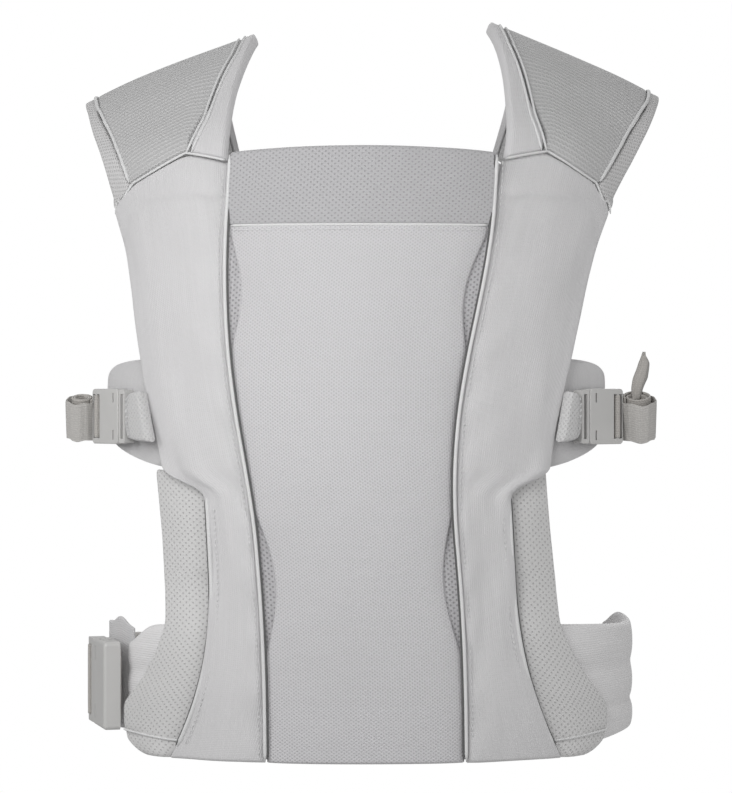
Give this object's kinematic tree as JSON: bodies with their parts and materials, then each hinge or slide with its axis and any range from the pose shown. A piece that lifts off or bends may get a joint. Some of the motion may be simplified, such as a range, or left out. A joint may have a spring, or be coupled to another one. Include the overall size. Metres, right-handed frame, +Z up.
{
  "type": "soft baby carrier",
  "caption": "Front-worn soft baby carrier with a mesh centre panel, padded crossing shoulder straps, padded belt and side-release buckles.",
  "frame": {"origin": "on the vertical axis of the wearer's trunk, level with the belt's lower edge at the front", "axes": "+Z up, -Y the way the wearer and the front panel face, +X the wearer's left"},
  "size_m": [0.4313, 0.2823, 0.5252],
  "materials": {
    "belt_knit": "knitted or mesh fabric",
    "bolster_mesh": "knitted or mesh fabric",
    "buckle_plastic": "satin moulded acetal",
    "elastic": "woven elastic",
    "foam": "closed-cell foam",
    "head_mesh": "knitted or mesh fabric",
    "lining_mesh": "knitted or mesh fabric",
    "panel_mesh": "knitted or mesh fabric",
    "piping": "knitted or mesh fabric",
    "ribbed_mesh": "knitted or mesh fabric",
    "smooth_knit": "knitted or mesh fabric",
    "strap_knit": "knitted or mesh fabric",
    "webbing": "woven webbing"
  },
  "bodies": {
    "carrier": {"centre_panel": "panel_mesh", "left_back_strap": "strap_knit", "left_buckle_tab": "smooth_knit", "left_buckle_wing": "smooth_knit", "left_leg_bolster": "bolster_mesh", "left_leg_panel": "bolster_mesh", "left_leg_piping": "piping", "left_panel_piping": "piping", "left_shoulder_strap": "ribbed_mesh", "left_side_band": "smooth_knit", "left_side_plug": "buckle_plastic", "left_strap_webbing": "webbing", "panel_lining": "lining_mesh", "right_back_strap": "strap_knit", "right_buckle_tab": "smooth_knit", "right_buckle_wing": "smooth_knit", "right_leg_bolster": "bolster_mesh", "right_leg_panel": "bolster_mesh", "right_leg_piping": "piping", "right_panel_piping": "piping", "right_shoulder_strap": "ribbed_mesh", "right_side_band": "smooth_knit", "right_side_plug": "buckle_plastic", "right_strap_webbing": "webbing", "waist_anchor_webbing": "webbing", "waist_belt_cover": "belt_knit", "waist_belt_foam": "foam", "waist_belt_lining": "lining_mesh", "waist_buckle_guard": "smooth_knit", "waist_socket": "buckle_plastic", "waist_webbing": "webbing", "waist_webbing_tail": "webbing"},
    "head_support": {"head_support": "head_mesh"},
    "right_socket": {"right_side_socket": "buckle_plastic", "right_webbing_loop": "webbing", "right_webbing_roll": "webbing"},
    "right_keeper": {"right_keeper": "elastic"},
    "right_upper_prong": {"right_upper_prong": "buckle_plastic"},
    "right_lower_prong": {"right_lower_prong": "buckle_plastic"},
    "left_socket": {"left_side_socket": "buckle_plastic", "left_webbing_loop": "webbing", "left_webbing_roll": "webbing", "left_webbing_tail": "webbing"},
    "left_keeper": {"left_keeper": "elastic"},
    "left_upper_prong": {"left_upper_prong": "buckle_plastic"},
    "left_lower_prong": {"left_lower_prong": "buckle_plastic"},
    "waist_plug": {"waist_plug": "buckle_plastic", "waist_webbing_loop": "webbing"},
    "waist_upper_prong": {"waist_upper_prong": "buckle_plastic"},
    "waist_lower_prong": {"waist_lower_prong": "buckle_plastic"},
    "waist_keeper": {"waist_keeper": "elastic"}
  },
  "joints": [
    {"name": "head_support_fold", "type": "hinge", "parent": "carrier", "child": "head_support", "pos_m": [0, -0.13001, 0.37125], "axis": [1, 0, 0], "range_deg": [0, 120]},
    {"name": "right_side_release", "type": "slide", "parent": "carrier", "child": "right_socket", "axis": [-0.5866, 0.8099, 0], "range_m": [0, 0.026], "deforming": ["right_upper_prong", "right_lower_prong", "right_strap_webbing"]},
    {"name": "right_keeper_slide", "type": "slide", "parent": "right_socket", "child": "right_keeper", "axis": [0, 0, 1], "range_m": [0, 0.03]},
    {"name": "right_upper_prong_pinch", "type": "hinge", "parent": "carrier", "child": "right_upper_prong", "pos_m": [-0.17127, -0.0739, 0.24799], "axis": [-0.8099, -0.5866, 0], "range_deg": [0, 8], "stiffness_Nm_per_rad": 0.08},
    {"name": "right_lower_prong_pinch", "type": "hinge", "parent": "carrier", "child": "right_lower_prong", "pos_m": [-0.17127, -0.0739, 0.22801], "axis": [0.8099, 0.5866, 0], "range_deg": [0, 8], "stiffness_Nm_per_rad": 0.08},
    {"name": "left_side_release", "type": "slide", "parent": "carrier", "child": "left_socket", "axis": [0.7164, 0.6977, 0], "range_m": [0, 0.026], "deforming": ["left_upper_prong", "left_lower_prong", "left_strap_webbing"]},
    {"name": "left_keeper_slide", "type": "slide", "parent": "left_socket", "child": "left_keeper", "axis": [0, 0, 1], "range_m": [0, 0.03]},
    {"name": "left_upper_prong_pinch", "type": "hinge", "parent": "carrier", "child": "left_upper_prong", "pos_m": [0.15364, -0.09082, 0.24799], "axis": [-0.6977, 0.7164, 0], "range_deg": [0, 8], "stiffness_Nm_per_rad": 0.08},
    {"name": "left_lower_prong_pinch", "type": "hinge", "parent": "carrier", "child": "left_lower_prong", "pos_m": [0.15364, -0.09082, 0.22801], "axis": [0.6977, -0.7164, 0], "range_deg": [0, 8], "stiffness_Nm_per_rad": 0.08},
    {"name": "waist_release", "type": "slide", "parent": "carrier", "child": "waist_plug", "axis": [-0.2588, 0.9659, 0], "range_m": [0, 0.036], "deforming": ["waist_upper_prong", "waist_lower_prong", "waist_webbing", "waist_webbing_tail"]},
    {"name": "waist_upper_prong_pinch", "type": "hinge", "parent": "waist_plug", "child": "waist_upper_prong", "pos_m": [-0.19057, -0.0305, 0.06282], "axis": [0.9659, 0.2588, 0], "range_deg": [0, 8], "stiffness_Nm_per_rad": 0.08},
    {"name": "waist_lower_prong_pinch", "type": "hinge", "parent": "waist_plug", "child": "waist_lower_prong", "pos_m": [-0.19057, -0.0305, 0.03318], "axis": [-0.9659, -0.2588, 0], "range_deg": [0, 8], "stiffness_Nm_per_rad": 0.08},
    {"name": "waist_keeper_slide", "type": "slide", "parent": "carrier", "child": "waist_keeper", "axis": [0.5795, 0.815, 0], "range_m": [-0.01, 0.01]}
  ],
  "couplings": [
    {"joint": "right_lower_prong_pinch", "follows": "right_upper_prong_pinch", "ratio": 1},
    {"joint": "left_lower_prong_pinch", "follows": "left_upper_prong_pinch", "ratio": 1},
    {"joint": "waist_lower_prong_pinch", "follows": "waist_upper_prong_pinch", "ratio": 1}
  ]
}
